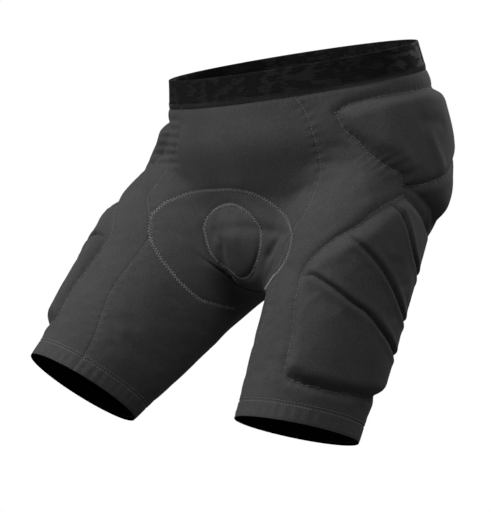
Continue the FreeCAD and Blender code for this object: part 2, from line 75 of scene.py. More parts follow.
# Fineness of the cloth mesh before it is subdivided
COLUMNS = 36
SEAT_ROWS = 10
LEG_ROWS = 15
SUBDIVISIONS = 3
RELAX_STEPS = (40, 12, 6, 3)

# Cloth: degrees round and shares for the crotch, millimetres for the rest
SEAT_NODES = ["front_panel", "seat_panel", "left_hip_panel", "right_hip_panel"]
CROTCH_ROUND = -100.0
CROTCH_PULL = 0.13
CROTCH_BELOW = 110.0
BELOW_HIP = 60.0
EDGE_STEP = 7.0
EDGE_REACH = 8.0
TOP_DOWN = 24.5
TOP_LOOSE = 33.0
TUCK = 1.4
# Least cosine between a face of the CAD's cloth and the way outwards for the face to count as outer
OUTWARD = 0.25

# Lines on the cloth, as (degrees round, millimetres down) unless said otherwise
FRONT_SEAM = {
    "left": [(40, 29), (43.5, 47), (45, 68), (46, 91), (45, 113), (41, 131), (37, 147), (33, 156)],
    "right": [(38, 29), (39, 48), (45, 73), (49, 91), (45, 111), (39, 131), (35, 146)],
}
FRONT_SEAM_THIGH = {"left": [(-10, 99)], "right": []}
FRONT_SEAM_LEG = [
    (-19, 117), (-22, 130), (-22, 162), (-22.5, 191), (-28, 219), (-37, 252), (-39, 277), (-39, 290),
]
BACK_SEAM = [(141, 29), (138, 80), (138, 120), (141, 155)]
BACK_SEAM_LEG = [(176, 112), (184, 150), (188, 210), (190, 265), (190, 285)]
HIP_PAD = [
    (55.5, 53), (62, 47), (75, 45), (88, 47), (111, 51), (126, 56), (127, 90), (126, 124),
    (110, 133), (96, 141), (86, 143), (74, 140), (72, 125), (68, 116), (63.5, 101), (61, 86), (57, 70),
]
HIP_RIDGES = [[(71, 52), (72.5, 96), (79, 126)], [(87, 86), (96, 141)]]
HIP_CREASE = [(82, 76), (102, 89)]
THIGH_PAD = [
    (80, 32), (67.5, 47), (57, 64), (48, 84), (36, 102), (28, 115), (21, 127), (16, 141), (15.5, 167),
    (17.5, 186), (20, 205), (20, 226), (21, 246), (35, 252), (50, 252), (66, 251), (82, 246), (134, 231),
    (140, 222), (141, 180), (141, 140), (141, 90), (141, 52), (134, 45), (122, 45), (99, 37.5),
]
THIGH_GROOVES = [
    [(66, 48), (74, 55), (82, 65), (92, 78), (106, 90), (140, 103)],
    [(44.5, 96), (51, 103), (62, 112), (75, 122), (89, 133), (107, 144), (140, 153)],
    [(17, 143), (26, 144), (34, 148), (46, 155), (58, 162), (72, 167), (90, 176), (114, 184), (140, 189)],
]
TAIL_PAD = [(160, 70), (180, 65), (200, 70), (199, 100), (191, 150), (180, 156), (169, 150), (161, 100)]
# Seat pad outline: across the belly in the seat's own frame, then under the thigh in the leg chart
SEAT_PAD_ACROSS = [
    (-101, -127, -125), (-77, -112, -120), (-35, -116, -118), (-3, -120, -119), (23, -119, -126),
    (46, -116, -141), (66, -123, -157), (79, -137, -171), (79, -147, -187), (65, -150, -201),
    (33, -135, -217), (11, -119, -228),
]
SEAT_PAD_UNDER = [
    (-9, 101), (-16, 115), (-27, 128), (-45, 138), (-70, 146), (-92, 147), (-107, 138), (-121, 127),
]
SEAT_PAD_CUP = [
    (-57, -122, -157), (-54, -117, -147), (-39, -117, -138), (-15, -121, -134), (3, -123, -138),
    (19, -125, -149), (28, -127, -165), (20, -121, -190), (0, -115, -207), (-24, -117, -216),
    (-29, -120, -210), (-40, -123, -199), (-49, -126, -184),
]

# How far rays look for the cloth in metres, and where along a ray that misses the nearest place is sought
SEAT_REACH = 0.25
LEG_REACH = 0.2
MISS_SHARE = 0.6
LINING_REACH = 24.0
CURVE_STEPS = 12
LINE_STEP = 0.8

# Millimetres of cloth to a degree round the waist and round a leg
SEAT_DEGREE = 2.4
LEG_DEGREE = 1.2

# Trim and thread
BAND_HEIGHT = 27.0
BAND_THICKNESS = 2.8
BAND_EDGE = 1.2
BAND_WAVE = 0.25
BAND_WAVE_PITCH = 21.0
SECTION_STEP = 3.0
BAND_COLUMNS = 360
CORNER_STEPS = 4
RING_COLUMNS = 240
HEM_STITCH = 18.5
HEM_MARGIN = 0.6
HEM_FOLD_RADIUS = 0.9
FOLD_STEPS = 6
GRIP_STEPS = 25
GRIP_BEADS = 4
GRIP_BEAD_HEIGHT = 0.6
GRIP_THICKNESS = 1.4
STITCH_SIDES = 6
STITCH_PITCH = 3.4
STITCH_LENGTH = 2.3
THREAD_WIDTH = 0.6
ZIGZAG_THREAD = 0.5
THREAD_LIFT = 0.15
THREAD_GREY = 0.17
ZIGZAG_GREY = 0.3
# Near-black thread: the waist seam's own black thread, and painted shade on the stitches down in the thigh grooves
GROOVE_SHADE_AND_BLACK_THREAD_GREY = 0.02
ZIGZAG_WIDTH = 4.0
CUP_ZIGZAG_WIDTH = 3.0
ZIGZAG_PITCH = 1.8
COVER_STITCH = 3.6
WAIST_STITCHES = 380
WAIST_STITCH_HIGH = 2.2
WAIST_STITCH_LOW = 4.0
WAIST_THREAD = 0.9

# Relief along each kind of line, in millimetres: height, width, distance from the line, fade at its ends
LINE_RELIEF = {
    "seam": [(-0.9, 1.5, 0, 0)],
    "outline": [(-0.9, 1.8, 0, 0), (-0.9, 4, 0, 0), (0.5, 5, 9, 0)],
    "groove": [(-4.2, 2.3, 0, 12), (0.9, 4, 6, 20)],
    "ridge": [(1.6, 8, 0, 15)],
    "crease": [(-1.2, 7, 0, 15)],
    "seat_pad": [(-0.7, 2.4, 0, 0)],
    "cup": [(-1.3, 3.5, 0, 0)],
}
# Puckers along stitched lines, in millimetres: height, width, pitch, and the part at the line left flat
PUCKERS = {"seam": (0.4, 6, 9.0, 1.5), "outline": (0.25, 5, 8.0, 0), "seat_pad": (0.12, 6, 7.0, 0)}
# Gathers under the waistband and above the hem's edge: height, width, pitch
WAIST_GATHERS = (0.14, 9, 7.0)
HEM_GATHERS = (0.3, 8, 11.0)
HEM_DENT = (-0.5, 1.6)
SWAY = 0.25

# Soft folds: how the places are given, side, places, height and width in millimetres
FOLD_FADE = 14.0
FOLDS = [
    ("leg", "left", [(-14, 98), (-45, 92), (-80, 97)], -1.8, 6.0),
    ("leg", "right", [(-8, 92), (15, 62), (30, 40)], -1.6, 8.0),
    ("frame", "right", [(-42, -122, -156), (-18, -124, -164), (8, -126, -168)], 2.4, 15.0),
    ("frame", "left", [(29, -127, -199), (36, -128, -190), (42, -127, -181), (51, -124, -168)], -2.8, 4.0),
]
# Folds across the front seam of the raised right hip
for GATHER_DOWN in range(42, 96, 9):
    FOLDS.append(("seat", "right", [(around, GATHER_DOWN) for around in (38, 50, 66)], -1.5, 3.2))

# Swelling of pads and cloth
PRESSURE = 4.0
STRETCH_STIFFNESS = 40
BEND_STIFFNESS = 2
SWELL_FRAMES = 20
PAD_SWELL = 0.8
CLOTH_SWELL = 0.7
CLOTH_SLACK = 0.004
PIN_REACH = 2.6
HEM_SLOPE = 8.0

# Foam pads and the voxel in millimetres each is remeshed with
PAD_VOXELS = {"left_hip_pad": 4.5, "right_hip_pad": 4.5, "tailbone_pad": 4.0, "seat_pad_core": 2.4}
THIGH_PAD_VOXEL = 4.0
LINER_THICKNESS = 0.7
FLEECE_THICKNESS = 2.2

# Finishes
KNIT_DARK = 0.026
KNIT_LIGHT = 0.056
KNIT_COURSE = 1.1
# Near-black painted shade for the inner side of the cloth and the hem's inner fold
INSIDE_SHADE_GREY = 0.001
BAND_GREYS = (0.0055, 0.0085, 0.007)
BAND_RIB = 1.3
BAND_PICK = 0.9

# Studio
CAMERA_ROUND = 41.4
CAMERA_RISE = -5.5
CAMERA_DISTANCE = 2.6
AIM_RIGHT = -70.9
AIM_UP = -90.5
LENS = 168.2
SENSOR_WIDTH = 36.0
AMBIENT = 0.12
FLOOR_DROP = 0.35
FLOOR_HALF = 4.5
FLOOR_GLOW = 0.9
FLOOR_BOUNCE = 0.12
FLOOR_GREY = 0.85
LIGHT_AIM = (0, 0, -0.2)
# Area lights: place in metres, size in metres, power in watts
LIGHTS = {
    "key": ((-1.4, -2.2, 1.9), 1.2, 108.0),
    "fill": ((2.3, -1.2, 2.3), 1.6, 62.0),
    "back": ((0.0, 2.6, 1.6), 2.0, 45.0),
}

# ---- small helpers


def unit(vectors):
    return vectors / np.maximum(np.linalg.norm(vectors, axis=-1, keepdims=True), 1e-12)


def smooth(share):
    share = np.clip(share, 0.0, 1.0)
    return share * share * (3 - 2 * share)


def hump(distance, width):
    """One at the middle, falling smoothly to nothing at about twice the width."""
    return np.exp(-((distance / width) ** 2))


class Chart:
    """Degrees round from the front, growing towards the wearer's side, and millimetres down an axis."""

    def __init__(self, origin, up, sign):
        lean, tip = math.atan2(-up[1], up[2]), math.asin(up[0])
        x_axis = np.array([math.cos(tip), math.sin(lean) * math.sin(tip), -math.cos(lean) * math.sin(tip)])
        z_axis = np.array(up, float)
        self.origin = np.array(origin, float)
        self.axes = np.array([x_axis, np.cross(z_axis, x_axis), z_axis])
        self.sign = sign

    def locate(self, points):
        """Degrees round, from -180 to 180, and millimetres down."""
        p = (np.asarray(points, float) - self.origin) @ self.axes.T
        around = np.degrees(np.arctan2(self.sign * p[..., 0], -p[..., 1]))
        return (around + 180.0) % 360.0 - 180.0, -p[..., 2] / MM

    def centre(self, down):
        return self.origin - np.multiply.outer(np.asarray(down, float) * MM, self.axes[2])

    def ray(self, around):
        angle = np.radians(np.asarray(around, float))
        local = np.stack([self.sign * np.sin(angle), -np.cos(angle), 0 * angle], -1)
        return local @ self.axes


SEAT_UP = np.array(MOUNTS["waist_centre"]["axis"])
SEAT = {side: Chart(MOUNTS["waist_centre"]["pos_m"], SEAT_UP, SIDES[side]) for side in SIDES}
LEG_UP = {side: -np.array(MOUNTS[side + "_leg_grip"]["axis"]) for side in SIDES}
LEG = {side: Chart(JOINTS[side + "_hip"]["pos_m"], LEG_UP[side], SIDES[side]) for side in SIDES}
WAIST = SEAT["left"]
HIP_DOWN = float(WAIST.locate(LEG["left"].origin)[1])


def ring_round(columns):
    return np.linspace(-180, 180, columns, endpoint=False)


# ---- mesh helpers


def new_mesh(name, points, faces):
    mesh = bpy.data.meshes.new(name)
    mesh.from_pydata(np.asarray(points).tolist(), [], faces)
    mesh.update()
    return mesh


def new_object(name, data):
    obj = bpy.data.objects.new(name, data)
    bpy.context.scene.collection.objects.link(obj)
    return obj


def evaluated_mesh(obj):
    """The object's mesh with its modifiers applied."""
    evaluated = obj.evaluated_get(bpy.context.evaluated_depsgraph_get())
    return bpy.data.meshes.new_from_object(evaluated)


def mesh_points(mesh, kind="co"):
    """The places of a mesh's vertices, or their normals."""
    values = np.zeros(len(mesh.vertices) * 3, np.float32)
    mesh.vertices.foreach_get(kind, values)
    return values.reshape(-1, 3)


def add_modifier(obj, kind, **settings):
    modifier = obj.modifiers.new(kind.lower(), kind)
    for name, value in settings.items():
        setattr(modifier, name, value)


def apply_modifiers(obj):
    mesh = evaluated_mesh(obj)
    obj.modifiers.clear()
    obj.data = mesh


# ---- the CAD's outer cloth surface


def mesh_arrays(node):
    """Vertices and triangles of a CAD node."""
    mesh = NODES[node].data
    mesh.calc_loop_triangles()
    triangles = np.array([triangle.vertices for triangle in mesh.loop_triangles])
    return mesh_points(mesh).astype(float), triangles


def tree_of(points, faces):
    return BVHTree.FromPolygons(points.tolist(), [list(map(int, face)) for face in faces])


def spine_of_seat(points):
    """Points on the middle line of the seat, level with points on the cloth."""
    return WAIST.centre(np.clip(WAIST.locate(points)[1], 0, HIP_DOWN - 15))


def outside(node, middles, normals):
    """True for each face on the outer side of a cloth node."""
    if node == "waistband" or node in SEAT_NODES:
        seat_out = (normals * unit(middles - spine_of_seat(middles))).sum(1)
        leg_out = np.zeros(len(middles))
        for side, sign in SIDES.items():
            leg, mine = LEG[side], middles[:, 0] * sign >= 0
            down = np.maximum(leg.locate(middles[mine])[1], BELOW_HIP)
            leg_out[mine] = (normals[mine] * unit(middles[mine] - leg.centre(down))).sum(1)
        return (seat_out > OUTWARD) | ((seat_out > -0.15) & (leg_out > 0.5))
    leg = LEG[node.split("_")[0]]
    return (normals * unit(middles - leg.centre(leg.locate(middles)[1]))).sum(1) > OUTWARD


class Surface:
    """The outer faces of some CAD cloth nodes, to be met by rays or found as the nearest place."""

    def __init__(self, nodes):
        vertices, triangles, labels, start = [], [], [], 0
        for label, node in enumerate(nodes):
            v, t = mesh_arrays(node)
            corners = v[t]
            normals = unit(np.cross(corners[:, 1] - corners[:, 0], corners[:, 2] - corners[:, 0]))
            keep = outside(node, corners.mean(1), normals)
            vertices.append(v)
            triangles.append(t[keep] + start)
            labels.append(np.full(keep.sum(), label))
            start += len(v)
        self.nodes = nodes
        self.labels = np.concatenate(labels)
        self.tree = tree_of(np.concatenate(vertices), np.concatenate(triangles))

    def nearest(self, points):
        """Nearest places, their normals, and the number of the node each is on."""
        found = [self.tree.find_nearest(point) for point in points.tolist()]
        places = np.array([hit[0] for hit in found])
        normals = np.array([hit[1] for hit in found])
        return places, normals, self.labels[[hit[2] for hit in found]]


def meet(tree, starts, rays, reach):
    """Place where each ray first meets a surface, or its nearest place to the end where a ray meets none."""
    places = []
    for start, ray in zip(starts.tolist(), rays.tolist()):
        hit = tree.ray_cast(start, ray)[0]
        if hit is None or (hit - Vector(start)).length > reach:
            hit = tree.find_nearest(Vector(start) + Vector(ray) * reach * MISS_SHARE)[0]
        places.append(hit)
    return np.array(places)


def leg_nodes(side):
    return [side + "_leg_side_panel", side + "_leg_inner_panel", side + "_hem_band"]


SEAT_SURFACE = Surface(SEAT_NODES)
BAND_SURFACE = Surface(["waistband"])
LEG_SURFACE = {side: Surface(leg_nodes(side)) for side in SIDES}
SIDE_SURFACE = {side: Surface(SEAT_NODES + leg_nodes(side)) for side in SIDES}


def opening_plane(side):
    """Middle and normal (towards the leg) of the plane in which the leg's cloth meets the hip's."""
    hip = mesh_arrays(side + "_hip_panel")[0]
    leg = tree_of(*mesh_arrays(side + "_leg_side_panel"))
    edge = np.array([p for p in hip.tolist() if leg.find_nearest(p, EDGE_REACH * MM)[0] is not None])
    middle = edge.mean(0)
    normal = np.linalg.svd(edge - middle, full_matrices=False)[2][2]
    return middle, normal * np.sign(normal @ (LEG[side].centre(200) - middle))


def hem_line(side):
    """Millimetres down the leg to the hem's lower edge, as a mean and a front-to-back swing."""
    around, down = LEG[side].locate(mesh_arrays(side + "_hem_band")[0])
    angles = np.arange(-170, 180, 10)
    low = [down[abs(around - angle) < 4].max() for angle in angles]
    swing = np.cos(np.radians(angles))
    return np.linalg.lstsq(np.stack([np.ones_like(swing), swing], 1), np.array(low), rcond=None)[0]


OPENING = {side: opening_plane(side) for side in SIDES}
HEM = {side: hem_line(side) for side in SIDES}


def hem_down(side, around):
    """Distance down the leg of the hem's lower edge at some degrees round."""
    return HEM[side][0] + HEM[side][1] * np.cos(np.radians(around))


# ---- the cloth as one mesh


def opening_loop(side, shares):
    """Loop on the cloth just past the leg opening, from the crotch round the front, side and back."""
    leg = LEG[side]
    middle, normal = OPENING[side]
    middle = middle + normal * EDGE_STEP * MM
    down_axis = -leg.axes[2]
    level = leg.ray(CROTCH_ROUND + 360 * shares)
    start = leg.origin + down_axis * ((middle - leg.origin) @ normal / (down_axis @ normal))
    rays = unit(level - np.outer(level @ normal / (down_axis @ normal), down_axis))
    return meet(LEG_SURFACE[side].tree, np.repeat(start[None], len(rays), 0), rays, LEG_REACH)


def crotch_middle():
    """Lowest point of the seat, between the legs."""
    below = WAIST.centre(HIP_DOWN + CROTCH_BELOW)
    return SEAT_SURFACE.nearest(below[None])[0][0] * np.array([0, 1, 1])


def half_grid(side, crotch):
    """Rows of points down one half of the garment: half rings on the seat, then whole rings on the leg."""
    seat, leg = SEAT[side], LEG[side]
    shares = np.linspace(0, 1, COLUMNS + 1)
    loop = opening_loop(side, shares)
    pull = 1 - smooth(np.minimum(shares, 1 - shares) / CROTCH_PULL)[:, None]
    loop = loop * (1 - pull) + crotch * pull
    rays = seat.ray(180 * shares)
    waist = meet(BAND_SURFACE.tree, seat.centre(TOP_DOWN + 0 * shares), rays, SEAT_REACH) - rays * TUCK * MM
    rows = [waist]
    for row in range(1, SEAT_ROWS):
        guess = waist + (loop - waist) * row / SEAT_ROWS
        start = spine_of_seat(guess)
        rows.append(meet(SEAT_SURFACE.tree, start, unit(guess - start), SEAT_REACH))
    rows.append(loop)
    top = leg.locate(loop)[1]
    spread_round = CROTCH_ROUND + 360 * shares
    hem = hem_down(side, spread_round) - HEM_MARGIN
    for row in range(1, LEG_ROWS + 1):
        share = row / LEG_ROWS
        down = top + (hem - top) * share
        start = leg.centre(down)
        ring = meet(LEG_SURFACE[side].tree, start, leg.ray(spread_round), LEG_REACH)
        slide = loop + (leg.centre(down) - leg.centre(top))
        settle = smooth(share * 2.5)
        rows.append(slide * (1 - settle) + ring * settle)
    return np.array(rows)


def base_cloth():
    """Coarse quads of the whole garment, with the two halves joined down the middle."""
    crotch = crotch_middle()
    points, faces, index = [], [], {}
    for side in SIDES:
        grid = half_grid(side, crotch)
        numbers = np.zeros(grid.shape[:2], int)
        for row, column in np.ndindex(*numbers.shape):
            key = (side, row, column % COLUMNS if row > SEAT_ROWS else column)
            if row <= SEAT_ROWS and column in (0, COLUMNS):
                key = "crotch" if row == SEAT_ROWS else ("middle", row, column)
            if key not in index:
                index[key] = len(points)
                points.append(grid[row, column])
            numbers[row, column] = index[key]
        for row, column in np.ndindex(SEAT_ROWS + LEG_ROWS, COLUMNS):
            a, b = numbers[row, column], numbers[row, column + 1]
            c, d = numbers[row + 1, column + 1], numbers[row + 1, column]
            face = [a, d, c, b] if side == "left" else [a, b, c, d]
            unique = list(dict.fromkeys(face))
            if len(unique) > 2:
                faces.append(unique)
    return np.array(points), faces


def edges_of(faces):
    """Every edge as a sorted pair of vertices, and the number of faces on it."""
    pairs = [sorted(pair) for face in faces for pair in zip(face, face[1:] + face[:1])]
    return np.unique(pairs, axis=0, return_counts=True)


def settle_on_cad(points, faces, steps):
    """Evens out the mesh along the CAD's surface; open edges stay put."""
    edges, uses = edges_of(faces)
    rim = np.zeros(len(points), bool)
    rim[edges[uses == 1]] = True
    counts = np.bincount(edges.ravel(), minlength=len(points))[:, None]
    for _ in range(steps):
        total = np.zeros_like(points)
        np.add.at(total, edges[:, 0], points[edges[:, 1]])
        np.add.at(total, edges[:, 1], points[edges[:, 0]])
        moved = points + 0.6 * (total / counts - points)
        moved[rim] = points[rim]
        for side, sign in SIDES.items():
            mine = (moved[:, 0] * sign >= 0) & ~rim
            places, normals, _ = SIDE_SURFACE[side].nearest(moved[mine])
            step = ((places - moved[mine]) * normals).sum(1, keepdims=True) * normals
            below_band = WAIST.locate(moved[mine])[1] > TOP_LOOSE
            moved[mine] += step * below_band[:, None]
        points = moved
    return points


def subdivided(points, faces):
    obj = new_object("subdividing", new_mesh("subdividing", points, faces))
    add_modifier(obj, "SUBSURF", levels=1)
    apply_modifiers(obj)
    points = mesh_points(obj.data).astype(float)
    faces = [list(polygon.vertices) for polygon in obj.data.polygons]
    bpy.data.objects.remove(obj)
    return points, faces


def cloth_mesh(subdivisions):
    points, faces = base_cloth()
    points = settle_on_cad(points, faces, RELAX_STEPS[0])
    for level in range(subdivisions):
        points, faces = subdivided(points, faces)
        points = settle_on_cad(points, faces, RELAX_STEPS[level + 1])
    return points, faces


def vertex_normals(points, faces):
    mesh = new_mesh("measuring", points, faces)
    normals = mesh_points(mesh, "normal").astype(float)
    bpy.data.meshes.remove(mesh)
    return normals


# ---- cloth simulation


def swell(objects, most, slack=0.0, held=""):
    """Short cloth simulation under inner pressure, without gravity, that moves no point more than `most`."""
    before = [mesh_points(obj.data) for obj in objects]
    for obj in objects:
        cloth = obj.modifiers.new("swell", "CLOTH").settings
        cloth.use_pressure = True
        cloth.uniform_pressure_force = PRESSURE
        cloth.tension_stiffness = STRETCH_STIFFNESS
        cloth.compression_stiffness = STRETCH_STIFFNESS
        cloth.bending_stiffness = BEND_STIFFNESS
        cloth.shrink_min = -slack
        cloth.vertex_group_mass = held
        cloth.effector_weights.gravity = 0
    for number in range(1, SWELL_FRAMES + 1):
        bpy.context.scene.frame_set(number)
    for obj, start in zip(objects, before):
        move = mesh_points(evaluated_mesh(obj)) - start
        length = np.linalg.norm(move, axis=1, keepdims=True)
        end = start + move * np.minimum(1, most * MM / np.maximum(length, most * MM / 100))
        obj.modifiers.clear()
        obj.data.vertices.foreach_set("co", end.ravel())
        obj.data.update()
    bpy.context.scene.frame_set(1)


# ---- lines traced on the cloth


def smooth_line(places):
    """Places along a smooth curve through a line of places."""
    p = np.array(places, float)
    p = np.vstack([2 * p[0] - p[1], p, 2 * p[-1] - p[-2]])
    t = np.linspace(0, 1, CURVE_STEPS, endpoint=False)[:, None]
    parts = []
    for a, b, c, d in zip(p, p[1:], p[2:], p[3:]):
        parts.append(b + 0.5 * t * ((c - a) + t * (2 * a - 5 * b + 4 * c - d + t * (3 * (b - c) + d - a))))
    return np.vstack([*parts, p[-2:-1]])


def spaced(points, step):
    """Evenly spaced points along a line of points, and how far along it each one is."""
    along = np.concatenate([[0], np.cumsum(np.linalg.norm(np.diff(points, axis=0), axis=1))])
    count = max(2, int(round(along[-1] / (step * MM))))
    marks = np.linspace(0, along[-1], count + 1)
    return np.stack([np.interp(marks, along, points[:, axis]) for axis in range(3)], 1), marks / MM


class Tracer:
    """Draws lines on one cloth mesh."""

    def __init__(self, points, faces):
        self.tree = tree_of(points, faces)

    def on_leg(self, side, places):
        around, down = smooth_line(places).T
        return meet(self.tree, LEG[side].centre(down), LEG[side].ray(around), LEG_REACH)

    def on_seat(self, side, places):
        around, down = smooth_line(places).T
        return meet(self.tree, SEAT[side].centre(down), SEAT[side].ray(around), SEAT_REACH)

    def in_seat(self, places):
        """A line through points given in the seat's own frame."""
        return self.settle(WAIST.origin + smooth_line(places) * MM @ WAIST.axes)[0]

    def settle(self, points):
        found = [self.tree.find_nearest(point) for point in points.tolist()]
        return np.array([hit[0] for hit in found]), np.array([hit[1] for hit in found])


def closed(places):
    return [*places, places[0]]


def garment_lines(tracer):
    """Every seam, stitched outline and groove, by kind: a list of (points, distances along)."""
    lines = {kind: [] for kind in LINE_RELIEF}

    def add(kind, *parts):
        lines[kind].append(spaced(np.vstack(parts), LINE_STEP))

    for side in SIDES:
        thigh = FRONT_SEAM_THIGH[side] + FRONT_SEAM_LEG
        add("seam", tracer.on_seat(side, FRONT_SEAM[side]), tracer.on_leg(side, thigh))
        add("seam", tracer.on_seat(side, BACK_SEAM), tracer.on_leg(side, BACK_SEAM_LEG))
        add("outline", tracer.on_seat(side, closed(HIP_PAD)))
        add("outline", tracer.on_leg(side, closed(THIGH_PAD)))
        add("crease", tracer.on_seat(side, HIP_CREASE))
        for places in THIGH_GROOVES:
            add("groove", tracer.on_leg(side, places))
        for places in HIP_RIDGES:
            add("ridge", tracer.on_seat(side, places))
    add("seat_pad", tracer.on_leg("right", SEAT_PAD_UNDER)[::-1], tracer.in_seat(SEAT_PAD_ACROSS))
    add("cup", tracer.in_seat(closed(SEAT_PAD_CUP)))
    add("outline", tracer.on_seat("left", closed(TAIL_PAD)))
    return lines


class Near:
    """How far each point of the cloth is from the nearest of some lines, and how far along that line."""

    def __init__(self, lines, points):
        spots = np.vstack([spots for spots, _ in lines])
        along = np.concatenate([along for _, along in lines])
        to_end = np.concatenate([np.minimum(along, along[-1] - along) for _, along in lines])
        tree = KDTree(len(spots))
        for index, spot in enumerate(spots.tolist()):
            tree.insert(spot, index)
        tree.balance()
        found = [tree.find(point) for point in points.tolist()]
        index = np.array([hit[1] for hit in found])
        self.distance = np.array([hit[2] for hit in found]) / MM
        self.along = along[index]
        self.to_end = to_end[index]


# ---- relief: seams, grooves, puckers, folds


def ripple(along, pitch):
    """A wave along a line whose pitch wanders, between -1 and 1."""
    wander = np.sin(along / (pitch * 3.1)) * 1.4 + np.sin(along / (pitch * 1.7) + 2.0) * 0.8
    return np.sin(2 * math.pi * along / pitch + wander)


def fold(points, tracer, kind, side, places, height, width):
    """One soft fold or crease, fading out at both ends."""
    if kind == "frame":
        line = tracer.in_seat(places)
    elif kind == "leg":
        line = tracer.on_leg(side, places)
    else:
        line = tracer.on_seat(side, places)
    near = Near([spaced(line, LINE_STEP)], points)
    return height * hump(near.distance, width) * smooth(near.to_end / FOLD_FADE)


def line_relief(kind, near):
    """Height of the dents, bulges and puckers along one kind of line."""
    height = np.zeros(len(near.distance))
    for rise, width, away, fade in LINE_RELIEF[kind]:
        ends = smooth(near.to_end / fade) if fade else 1
        height += rise * hump(near.distance - away, width) * ends
    if kind in PUCKERS:
        rise, width, pitch, still = PUCKERS[kind]
        loose = 1 - hump(near.distance, still) if still else 1
        height += rise * hump(near.distance, width) * ripple(near.along, pitch) * loose
    return height


def edge_relief(points):
    """Height of the gathers under the waistband and at the hems, with the hem's stitched dent."""
    around, down = WAIST.locate(points)
    rise, width, pitch = WAIST_GATHERS
    height = rise * hump(down - BAND_HEIGHT - 6, width) * ripple(around * SEAT_DEGREE + 900, pitch)
    for side, sign in SIDES.items():
        mine = points[:, 0] * sign > 0
        around, down = LEG[side].locate(points)
        above = hem_down(side, around) - down
        height += HEM_DENT[0] * mine * hump(above - HEM_STITCH, HEM_DENT[1])
        rise, width, pitch = HEM_GATHERS
        waves = ripple(around * LEG_DEGREE + 900, pitch)
        height += rise * mine * hump(above - HEM_STITCH / 2, width) * waves
    return height


def relief(points, tracer, lines):
    """Height in millimetres by which each point of the cloth stands off the CAD's surface."""
    height = edge_relief(points)
    for kind in LINE_RELIEF:
        height += line_relief(kind, Near(lines[kind], points))
    for settings in FOLDS:
        height += fold(points, tracer, *settings)
    sway = np.sin(points @ np.array([61, 23, 47])) * np.sin(points @ np.array([-19, 53, 71]) + 1.0)
    return height + SWAY * sway


def pinned(points, lines):
    """True where the cloth is held still while it swells: at every stitched line, the waist and the hems."""
    held = WAIST.locate(points)[1] < TOP_LOOSE
    for kind in ("seam", "outline", "groove", "seat_pad", "cup"):
        held |= Near(lines[kind], points).distance < PIN_REACH
    for side, sign in SIDES.items():
        above = HEM[side][0] - LEG[side].locate(points)[1]
        held |= (points[:, 0] * sign > 0) & (above < HEM_STITCH + HEM_SLOPE)
    return held


def puffed(points, faces, lines):
    """The cloth after a short simulation: it swells and slackens a little between its stitched lines."""
    obj = new_object("puffing", new_mesh("puffing", points, faces))
    group = obj.vertex_groups.new(name="held")
    group.add(np.nonzero(pinned(points, lines))[0].tolist(), 1.0, "REPLACE")
    swell([obj], CLOTH_SWELL, CLOTH_SLACK, "held")
    places = mesh_points(obj.data).astype(float)
    bpy.data.objects.remove(obj)
    return places


def shaped_cloth():
    """The finished cloth: its points before and after shaping, its faces and its lines."""
    coarse, coarse_faces = cloth_mesh(SUBDIVISIONS - 1)
    lines = garment_lines(Tracer(coarse, coarse_faces))
    swollen = subdivided(puffed(coarse, coarse_faces, lines), coarse_faces)[0]
    even, faces = subdivided(coarse, coarse_faces)
    flat = settle_on_cad(even, faces, RELAX_STEPS[SUBDIVISIONS])
    tracer = Tracer(flat, faces)
    lines = garment_lines(tracer)
    height = relief(flat, tracer, lines)
    points = flat + (swollen - even) + vertex_normals(flat, faces) * height[:, None] * MM
    return flat, points, faces, lines


# ---- materials


class Graph:
    """A material under construction."""

    def __init__(self, name):
        self.material = bpy.data.materials.new(name)
        self.material.use_nodes = True
        self.tree = self.material.node_tree
        self.shader = self.tree.nodes["Principled BSDF"]

    def feed(self, node, socket, value):
        if isinstance(value, bpy.types.NodeSocket):
            self.tree.links.new(value, node.inputs[socket])
        else:
            node.inputs[socket].default_value = value

    def add(self, kind, output, inputs, **settings):
        """Adds one node, sets it up, feeds its inputs and gives back one of its outputs."""
        node = self.tree.nodes.new("ShaderNode" + kind)
        for name, value in settings.items():
            setattr(node, name, value)
        for socket, value in inputs.items():
            self.feed(node, socket, value)
        return node.outputs[output]

    def attribute(self, name, output="Vector"):
        return self.add("Attribute", output, {}, attribute_name=name)

    def noise(self, place, scale, detail=2.0, roughness=0.5):
        inputs = {"Vector": place, "Scale": scale, "Detail": detail, "Roughness": roughness}
        return self.add("TexNoise", "Fac", inputs)

    def cells(self, place, scale):
        return self.add("TexVoronoi", "Distance", {"Vector": place, "Scale": scale})

    def stretched(self, place, factors):
        return self.add("VectorMath", "Vector", {0: place, 1: factors}, operation="MULTIPLY")

    def maths(self, operation, first, second=0.0):
        return self.add("Math", "Value", {0: first, 1: second}, operation=operation)

    def wave(self, distance, pitch):
        return self.maths("SINE", self.maths("MULTIPLY", distance, 2 * math.pi / pitch))

    def between(self, value, low, high, out_low, out_high):
        inputs = {"Value": value, "From Min": low, "From Max": high, "To Min": out_low, "To Max": out_high}
        return self.add("MapRange", "Result", inputs)

    def mix(self, share, first, second):
        return self.add("Mix", 2, {0: share, 6: first, 7: second}, data_type="RGBA")

    def bump(self, height, depth, strength=1.0):
        inputs = {"Height": height, "Distance": depth * MM, "Strength": strength}
        self.feed(self.shader, "Normal", self.add("Bump", "Normal", inputs))

    def inside_out(self, colour, inside):
        """The colour on the outer side of a sheet and another on its inner side."""
        return self.mix(self.add("NewGeometry", "Backfacing", {}), colour, inside)

    def finish(self, colour, roughness, sheen=0.0, gloss=0.25):
        self.feed(self.shader, "Base Color", colour)
        self.feed(self.shader, "Roughness", roughness)
        self.feed(self.shader, "Specular IOR Level", gloss)
        self.feed(self.shader, "Sheen Weight", sheen)
        self.feed(self.shader, "Sheen Roughness", 0.45)
        return self.material


def grey(value):
    return (value, value, value * 1.02, 1)


